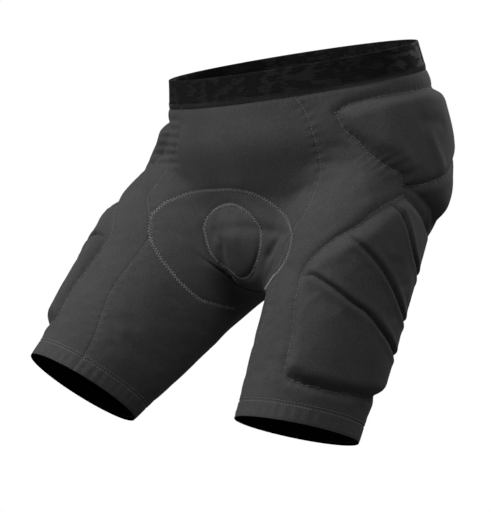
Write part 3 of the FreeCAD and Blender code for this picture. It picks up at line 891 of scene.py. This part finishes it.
def knit_material():
    """Charcoal warp knit with fine speckle and faint courses; its inner side is near black, painted shade for the
    inside of the garment.
    """
    graph = Graph("charcoal_knit")
    place = graph.attribute("rest")
    courses = graph.wave(graph.attribute("down", "Fac"), KNIT_COURSE)
    speckle = graph.noise(place, 0.75, 3.0, 0.7)
    cloudy = graph.noise(place, 0.03)
    fine, broad = graph.between(speckle, 0.32, 0.68, -0.5, 0.5), graph.between(cloudy, 0.3, 0.7, -0.12, 0.12)
    shade = graph.maths("ADD", graph.maths("ADD", fine, broad), graph.maths("MULTIPLY", courses, 0.1))
    colour = graph.mix(graph.between(shade, -0.6, 0.6, 0, 1), grey(KNIT_DARK), grey(KNIT_LIGHT))
    graph.bump(graph.maths("ADD", speckle, graph.maths("MULTIPLY", courses, 0.2)), 0.25, 0.6)
    return graph.finish(graph.inside_out(colour, grey(INSIDE_SHADE_GREY)), 0.85, 0.02)


def waistband_material():
    """Black jacquard elastic: a blotchy tone-on-tone pattern woven into fine ribs."""
    graph = Graph("jacquard_elastic")
    place = graph.attribute("band")
    rough_edges = graph.noise(place, 0.9, 1.0)
    blotches = graph.noise(graph.stretched(place, (0.045, 0.13, 1)), 1.0, 2.0, 0.6)
    blotches = graph.maths("ADD", blotches, graph.between(rough_edges, 0, 1, -0.04, 0.04))
    first = graph.maths("GREATER_THAN", blotches, 0.52)
    second = graph.maths("LESS_THAN", blotches, 0.44)
    colour = graph.mix(first, grey(BAND_GREYS[0]), grey(BAND_GREYS[1]))
    colour = graph.mix(second, colour, grey(BAND_GREYS[2]))
    rib = graph.wave(graph.add("SeparateXYZ", "X", {0: place}), BAND_RIB)
    pick = graph.wave(graph.add("SeparateXYZ", "Y", {0: place}), BAND_PICK)
    graph.bump(graph.maths("ADD", graph.maths("MULTIPLY", rib, pick), first), 0.25, 0.7)
    return graph.finish(colour, graph.between(first, 0, 1, 0.9, 0.6), 0.0, 0.1)


def thread_material(name, value):
    """Twisted polyester thread."""
    graph = Graph(name)
    twist = graph.noise(graph.attribute("rest"), 2.5, 1.0)
    colour = graph.mix(twist, grey(value * 0.7), grey(value * 1.2))
    graph.bump(twist, 0.1)
    return graph.finish(colour, 0.6, 0.1)


def foam_material(name, value):
    """Closed-cell foam with a fine pitted skin."""
    graph = Graph(name)
    place = graph.attribute("rest")
    pits = graph.cells(place, 1.1)
    colour = graph.mix(graph.between(pits, 0, 0.6, 0, 1), grey(value * 0.6), grey(value))
    graph.bump(pits, 0.3)
    return graph.finish(colour, 0.9)


def mesh_material():
    """Knitted liner mesh with holes 2 mm apart."""
    graph = Graph("liner_mesh")
    holes = graph.between(graph.cells(graph.attribute("rest"), 0.5), 0.28, 0.4, 0, 1)
    graph.bump(holes, 0.35)
    return graph.finish(graph.mix(holes, grey(0.004), grey(0.018)), 0.8, 0.1)


def inside_shade_material():
    """Near-black painted shade for the hem's inner fold, with a faint brushed nap."""
    graph = Graph("painted_inside_shade")
    nap = graph.noise(graph.attribute("rest"), 1.2)
    graph.bump(nap, 0.1)
    return graph.finish(graph.mix(nap, grey(INSIDE_SHADE_GREY * 0.7), grey(INSIDE_SHADE_GREY * 1.5)), 1.0, 0.0, 0.02)


def silicone_material():
    graph = Graph("grip_silicone")
    mottle = graph.noise(graph.attribute("rest"), 0.8)
    graph.bump(mottle, 0.08)
    # Near black: painted shade for the grippers inside the hems.
    return graph.finish(graph.mix(mottle, grey(0.002), grey(0.004)), 0.6, 0.0, 0.05)


# ---- pieces


def finish_piece(obj, material, down=None):
    """Smooth shading, the finish, and the rest place of every point in millimetres for the textures."""
    mesh = obj.data
    mesh.shade_smooth()
    mesh.materials.clear()
    mesh.materials.append(material)
    rest = mesh_points(mesh).ravel() / MM
    mesh.attributes.new("rest", "FLOAT_VECTOR", "POINT").data.foreach_set("vector", rest)
    if down is not None:
        mesh.attributes.new("down", "FLOAT", "POINT").data.foreach_set("value", down.astype(np.float32))
    return obj


def follow(obj):
    """Bakes the transform of a leg's cloth, foam or stitches into its mesh."""
    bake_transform(obj)


def place_piece(obj, node):
    """Hides the CAD node a piece takes the place of, and ties the piece to the seat's body unless it is on a leg.
    """
    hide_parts(node)
    side = node.split("_")[0]
    if side in SIDES and node not in frame["record"]["behaviour"]["bodies"]["seat"]:
        follow(obj)
    else:
        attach(obj, "seat")


def part_of(points, faces, wanted):
    """The wanted faces with only their own points, and which points those are."""
    chosen = [face for face, want in zip(faces, wanted) if want]
    used = np.unique(np.concatenate([np.array(face) for face in chosen]))
    number = np.full(len(points), -1)
    number[used] = np.arange(len(used))
    return points[used], [number[face].tolist() for face in chosen], used


def cloth_pieces(flat, points, faces, material):
    """One piece of cloth for each CAD cloth node, shaded as one unbroken surface."""
    normals = vertex_normals(points, faces)
    middles = np.array([flat[face].mean(0) for face in faces])
    names = np.empty(len(faces), object)
    for side, sign in SIDES.items():
        mine = middles[:, 0] * sign >= 0
        surface = SIDE_SURFACE[side]
        names[mine] = np.array(surface.nodes, object)[surface.nearest(middles[mine])[2]]
    on_waist = WAIST.locate(flat)[1]
    for node in sorted(set(names)):
        own_points, own_faces, used = part_of(points, faces, names == node)
        obj = new_object(node + "_fabric", new_mesh(node, own_points, own_faces))
        side = node.split("_")[0]
        on_leg = side in SIDES and node in leg_nodes(side)
        down = LEG[side].locate(flat[used])[1] if on_leg else on_waist[used]
        finish_piece(obj, material, down)
        obj.data.normals_split_custom_set_from_vertices(normals[used].tolist())
        place_piece(obj, node)


def ring_mesh(name, rows):
    """Mesh through closed rings of points, joined from each row to the next."""
    count = len(rows[0])
    faces = []
    for row in range(len(rows) - 1):
        for k in range(count):
            a, b = row * count + k, row * count + (k + 1) % count
            faces.append([a, a + count, b + count, b])
    return new_mesh(name, np.vstack(rows), faces)


def band_profile(width, height, radius):
    """Section of a strip with rounded edges, as (distance in, distance down), from its top outside."""
    corners = [(radius, radius, -90), (radius, height - radius, 180)]
    corners += [(width - radius, height - radius, 90), (width - radius, radius, 0)]
    section = []
    for inward, down, start in corners:
        for turn in np.radians(start - np.linspace(0, 90, CORNER_STEPS)):
            section.append((inward + radius * math.cos(turn), down + radius * math.sin(turn)))
    return np.array(section + section[:1])


def finer_section(section, step):
    """The same section with more points along its long sides."""
    parts = []
    for start, end in zip(section, section[1:]):
        count = max(1, int(np.linalg.norm(end - start) / step))
        parts += list(np.linspace(start, end, count, endpoint=False))
    return np.array(parts + [section[-1]])


def band_outer(around, down):
    """Ring on the outer face of the CAD's waistband, carried on past its edges."""
    starts = WAIST.centre(np.clip(down, 1, BAND_HEIGHT - 1) + 0 * around)
    return meet(BAND_SURFACE.tree, starts, WAIST.ray(around), SEAT_REACH) + WAIST.centre(down) - starts


def make_waistband():
    """Elastic with rounded edges, slightly rippled, with its texture laid round and down it."""
    around = ring_round(BAND_COLUMNS)
    rays = WAIST.ray(around)
    section = finer_section(band_profile(BAND_THICKNESS, BAND_HEIGHT, BAND_EDGE), SECTION_STEP)
    rows = []
    for inward, down in section:
        waves = BAND_WAVE * ripple((around + 180) * SEAT_DEGREE, BAND_WAVE_PITCH)
        waves *= math.sin(math.pi * down / BAND_HEIGHT)
        rows.append(band_outer(around, down) + rays * ((waves - inward) * MM)[:, None])
    mesh = ring_mesh("waistband", rows)
    obj = finish_piece(new_object("waistband_elastic", mesh), waistband_material())
    across = np.concatenate([[0], np.cumsum(np.linalg.norm(np.diff(section, axis=0), axis=1))])
    row, column = np.divmod(np.arange(len(mesh.polygons)), BAND_COLUMNS)
    u = np.stack([column, column, column + 1, column + 1], 1) * 360 * SEAT_DEGREE / BAND_COLUMNS
    v = np.stack([across[row], across[row + 1], across[row + 1], across[row]], 1)
    corners = np.stack([u, v, 0 * u], -1).ravel().astype(np.float32)
    mesh.attributes.new("band", "FLOAT_VECTOR", "CORNER").data.foreach_set("vector", corners)
    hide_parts("waistband")
    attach(obj, "seat")


def hem_ring(side, above):
    """Ring on the leg's cloth, some millimetres above the hem's lower edge."""
    rays = LEG[side].ray(ring_round(RING_COLUMNS))
    centre = LEG[side].centre(hem_down(side, ring_round(RING_COLUMNS)) - above)
    return meet(LEG_SURFACE[side].tree, centre, rays, LEG_REACH), rays


def make_hem_fold(side, material):
    """The hem's inner layer: the cloth turns round the edge and runs back up inside."""
    edge, rays = hem_ring(side, HEM_MARGIN)
    down_axis = -LEG[side].axes[2]
    rows = []
    for turn in np.linspace(0, math.pi, FOLD_STEPS):
        inward = HEM_FOLD_RADIUS * (1 - math.cos(turn))
        rows.append(edge - rays * inward * MM + down_axis * HEM_FOLD_RADIUS * math.sin(turn) * MM)
    for above in np.linspace(0, HEM_STITCH, FOLD_STEPS)[1:]:
        rows.append(edge - rays * 2 * HEM_FOLD_RADIUS * MM - down_axis * above * MM)
    obj = new_object(side + "_hem_fold", ring_mesh(side + "_hem_fold", rows))
    finish_piece(obj, material, np.zeros(len(obj.data.vertices)))
    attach(obj, side + "_leg")


def make_gripper(side, material):
    """Silicone ring with rounded beads on its inner side."""
    leg, node = LEG[side], side + "_leg_gripper"
    mount = MOUNTS[side + "_leg_grip"]
    radius, length = mount["dims"]["r_mm"], mount["dims"]["length_mm"]
    middle = float(leg.locate(np.array(mount["pos_m"]))[1])
    rays = leg.ray(ring_round(RING_COLUMNS))
    rows = []
    for share in np.linspace(0, 1, GRIP_STEPS):
        bead = abs(math.sin(GRIP_BEADS * math.pi * share))
        rows.append((radius + GRIP_BEAD_HEIGHT * (1 - bead), middle + length * (share - 0.5)))
    rows += [(radius + GRIP_THICKNESS, middle + length / 2), (radius + GRIP_THICKNESS, middle - length / 2)]
    rows.append(rows[0])
    rings = [leg.centre(down) + rays * reach * MM for reach, down in rows]
    obj = new_object(node + "_beads", ring_mesh(node, rings))
    finish_piece(obj, material)
    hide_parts(node)
    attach(obj, side + "_leg")


# ---- stitching


def stitch_shape():
    """One stitch along X, as a short plump thread: points and faces."""
    rings = [(-1.0, 0.25), (-0.75, 0.8), (0.0, 1.0), (0.75, 0.8), (1.0, 0.25)]
    points, faces = [], []
    for x, thick in rings:
        for turn in np.linspace(0, 2 * math.pi, STITCH_SIDES, endpoint=False):
            points.append((x, thick * math.cos(turn), thick * math.sin(turn)))
    for ring in range(len(rings) - 1):
        for k in range(STITCH_SIDES):
            a, b = ring * STITCH_SIDES + k, ring * STITCH_SIDES + (k + 1) % STITCH_SIDES
            faces.append([a, b, b + STITCH_SIDES, a + STITCH_SIDES])
    return np.array(points), faces


def thread_mesh(name, starts, ends, normals, width):
    """A stitch between each start and end."""
    shape, shape_faces = stitch_shape()
    along = (ends - starts) / 2
    across = unit(np.cross(normals, along))
    up = unit(np.cross(along, across))
    half = width / 2 * MM
    points = np.repeat((starts + ends)[:, None] / 2, len(shape), 1)
    for axis, direction in enumerate((along, across * half, up * half)):
        points += direction[:, None] * shape[None, :, axis, None]
    faces = []
    for start in range(0, len(starts) * len(shape), len(shape)):
        faces += [[index + start for index in face] for face in shape_faces]
    return new_mesh(name, points.reshape(-1, 3), faces)


def along_line(tracer, points, pitch):
    """Places along a line on the cloth, the cloth's normals there, and the way the line runs."""
    places, normals = tracer.settle(spaced(points, pitch)[0])
    return places, normals, unit(np.gradient(places, axis=0))


def running_stitches(tracer, points, offset=0.0):
    """Starts, ends and normals of a row of single-needle stitches along a line, or beside it."""
    places, normals, along = along_line(tracer, points, STITCH_PITCH)
    if offset:
        places, normals = tracer.settle(places + np.cross(normals, along) * offset * MM)
    half = along * STITCH_LENGTH / 2 * MM
    lift = normals * THREAD_LIFT * MM
    return places - half + lift, places + half + lift, normals


def zigzag_stitches(tracer, points, width):
    """Starts, ends and normals of a zigzag along a line."""
    places, normals, along = along_line(tracer, points, ZIGZAG_PITCH)
    sway = np.where(np.arange(len(places)) % 2, 1, -1)[:, None] * width / 2 * MM
    corners, normals = tracer.settle(places + np.cross(normals, along) * sway)
    corners = corners + normals * THREAD_LIFT * MM
    return corners[:-1], corners[1:], normals[:-1]


def add_stitches(name, side, rows, width, material):
    """One piece for a side's stitches. Rows on the other side are left out."""
    starts, ends, normals = [np.concatenate(part) for part in zip(*rows)]
    mine = (starts[:, 0] + ends[:, 0]) * SIDES[side] >= 0
    obj = new_object(name, thread_mesh(name, starts[mine], ends[mine], normals[mine], width))
    finish_piece(obj, material)
    follow(obj)


def make_waist_seam(tracer, thread):
    """Stitches that hold the elastic to the cloth, from its lower edge down."""
    around = ring_round(WAIST_STITCHES)
    rays = WAIST.ray(around)
    lean = WAIST.ray(around + 0.5)
    lift = rays * THREAD_LIFT * MM
    below = WAIST.centre(BAND_HEIGHT + WAIST_STITCH_LOW + 0 * around)
    upper = band_outer(around, BAND_HEIGHT - WAIST_STITCH_HIGH) + lift
    lower = meet(tracer.tree, below, lean, SEAT_REACH) + lift
    obj = new_object("waist_seam", thread_mesh("waist_seam", upper, lower, rays, WAIST_THREAD))
    finish_piece(obj, thread)
    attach(obj, "seat")


def make_stitching(points, faces, lines):
    tracer = Tracer(points, faces)
    thread = thread_material("grey_thread", THREAD_GREY)
    light_thread = thread_material("light_thread", ZIGZAG_GREY)
    # Near-black thread: black at the waist seam, painted shade on the stitches in the thigh grooves
    groove_shade_and_black_thread = thread_material("black_thread_and_groove_shade", GROOVE_SHADE_AND_BLACK_THREAD_GREY)
    plain = [running_stitches(tracer, line) for line, _ in lines["seam"] + lines["outline"]]
    sunk = [running_stitches(tracer, line) for line, _ in lines["groove"]]
    wide = [zigzag_stitches(tracer, line, ZIGZAG_WIDTH) for line, _ in lines["seat_pad"]]
    wide += [zigzag_stitches(tracer, line, CUP_ZIGZAG_WIDTH) for line, _ in lines["cup"]]
    for side in SIDES:
        ring = hem_ring(side, HEM_STITCH)[0]
        ring = np.vstack([ring, ring[:1]])
        plain += [running_stitches(tracer, ring, offset) for offset in (-COVER_STITCH / 2, COVER_STITCH / 2)]
    for side in SIDES:
        add_stitches(side + "_stitching", side, plain, THREAD_WIDTH, thread)
        add_stitches(side + "_zigzag_stitching", side, wide, ZIGZAG_THREAD, light_thread)
        add_stitches(side + "_groove_stitching", side, sunk, THREAD_WIDTH, groove_shade_and_black_thread)
    make_waist_seam(tracer, groove_shade_and_black_thread)


# ---- padding and liners


def foam_blank(node, voxel):
    """Even, closed mesh of a CAD pad, ready to swell."""
    obj = new_object(node + "_foam", NODES[node].data.copy())
    add_modifier(obj, "REMESH", mode="VOXEL", voxel_size=voxel * MM)
    add_modifier(obj, "SMOOTH", factor=0.5, iterations=3)
    apply_modifiers(obj)
    return obj


def make_pads():
    """Foam pads: hips, thighs, tailbone and the seat pad's core."""
    foam = foam_material("charcoal_foam", 0.05)
    voxels = {node: THIGH_PAD_VOXEL for node in NODES if "_pad_" in node and node[-1].isdigit()}
    blanks = {node: foam_blank(node, voxel) for node, voxel in (voxels | PAD_VOXELS).items()}
    swell(list(blanks.values()), PAD_SWELL)
    for node, obj in blanks.items():
        add_modifier(obj, "SUBSURF", levels=1)
        apply_modifiers(obj)
        finish_piece(obj, foam)
        place_piece(obj, node)


def lining_sheet(name, node, points, faces, normals, thickness):
    """Sheet of cloth mesh laid on the outer face of a thin CAD node."""
    vertices, triangles = mesh_arrays(node)
    tree = tree_of(vertices, triangles)
    low, high = vertices.min(0) - LINING_REACH * MM, vertices.max(0) + LINING_REACH * MM
    close = ((points > low) & (points < high)).all(1)
    laid, met = points.copy(), np.zeros(len(points), bool)
    for index in np.nonzero(close)[0]:
        place = tree.ray_cast(points[index].tolist(), (-normals[index]).tolist(), LINING_REACH * MM)[0]
        if place is not None:
            laid[index], met[index] = place, True
    own_points, own_faces, _ = part_of(laid, faces, [all(met[corner] for corner in face) for face in faces])
    obj = new_object(name, new_mesh(name, own_points, own_faces))
    add_modifier(obj, "SMOOTH", factor=0.5, iterations=4)
    add_modifier(obj, "SOLIDIFY", thickness=thickness * MM, offset=-1)
    apply_modifiers(obj)
    return obj


def make_linings(points, faces):
    normals = vertex_normals(points, faces)
    net, padding = mesh_material(), foam_material("seat_pad_fleece", 0.03)
    for node in sorted(NODES):
        if node.endswith("liner"):
            obj = lining_sheet(node + "_net", node, points, faces, normals, LINER_THICKNESS)
            finish_piece(obj, net)
        elif node == "seat_pad_base" or node.endswith("wing"):
            obj = lining_sheet(node + "_fleece", node, points, faces, normals, FLEECE_THICKNESS)
            finish_piece(obj, padding)
        else:
            continue
        place_piece(obj, node)


# ---- stage


def make_camera():
    """Camera at the angle of the reference picture, aimed at the middle of the garment."""
    turn, rise = math.radians(CAMERA_ROUND), math.radians(CAMERA_RISE)
    back = np.array([math.sin(turn) * math.cos(rise), -math.cos(turn) * math.cos(rise), math.sin(rise)])
    right = np.array([math.cos(turn), math.sin(turn), 0])
    up = np.cross(back, right)
    hips = WAIST.centre(HIP_DOWN)
    place = hips + back * CAMERA_DISTANCE
    look = unit(place - (hips + right * AIM_RIGHT * MM + up * AIM_UP * MM))
    level = unit(np.cross(up, look))
    data = bpy.data.cameras.new("camera")
    camera = new_object("camera", data)
    rotation = Matrix([level, np.cross(look, level), look]).transposed().to_4x4()
    camera.matrix_world = Matrix.Translation(Vector(place)) @ rotation
    data.lens = LENS
    data.sensor_width = SENSOR_WIDTH
    bpy.context.scene.camera = camera


def area_light(name, place, size, power):
    data = bpy.data.lights.new(name, "AREA")
    data.size = size
    data.energy = power
    light = new_object(name, data)
    light.location = place
    light.rotation_mode = "QUATERNION"
    light.rotation_quaternion = (Vector(LIGHT_AIM) - Vector(place)).to_track_quat("-Z", "Y")


def make_world():
    """White to the camera, and a dimmer white light from all round."""
    world = bpy.data.worlds.new("studio")
    world.use_nodes = True
    nodes, links = world.node_tree.nodes, world.node_tree.links
    path = nodes.new("ShaderNodeLightPath")
    strength = nodes.new("ShaderNodeMapRange")
    strength.inputs["To Min"].default_value = AMBIENT
    links.new(path.outputs["Is Camera Ray"], strength.inputs["Value"])
    links.new(strength.outputs["Result"], nodes["Background"].inputs["Strength"])
    nodes["Background"].inputs["Color"].default_value = (1, 1, 1, 1)
    bpy.context.scene.world = world


def make_stage():
    make_world()
    low = CAD_BOX[0][2] - FLOOR_DROP
    corners = [(x * FLOOR_HALF, y * FLOOR_HALF, low) for x, y in [(-1, -1), (1, -1), (1, 1), (-1, 1)]]
    floor = new_object("floor", new_mesh("floor", corners, [[0, 1, 2, 3]]))
    graph = Graph("pale_floor")
    seen = graph.add("LightPath", "Is Camera Ray", {})
    graph.feed(graph.shader, "Emission Color", (1, 1, 1, 1))
    graph.feed(graph.shader, "Emission Strength", graph.maths("MULTIPLY", seen, FLOOR_GLOW))
    colour = graph.mix(seen, grey(FLOOR_BOUNCE), grey(FLOOR_GREY))
    floor.data.materials.append(graph.finish(colour, 0.9))
    for name, settings in LIGHTS.items():
        area_light(name, *settings)


# ---- the whole scene


def main():
    flat, points, faces, lines = shaped_cloth()
    knit = knit_material()
    cloth_pieces(flat, points, faces, knit)
    make_waistband()
    make_stitching(points, faces, lines)
    make_pads()
    make_linings(points, faces)
    # The hems' inner folds and the grippers are near black: painted shade inside the hems.
    grip, inside_shade_finish = silicone_material(), inside_shade_material()
    for side in SIDES:
        make_hem_fold(side, inside_shade_finish)
        make_gripper(side, grip)
    make_camera()
    make_stage()
    bpy.context.scene.view_settings.view_transform = "Standard"


main()
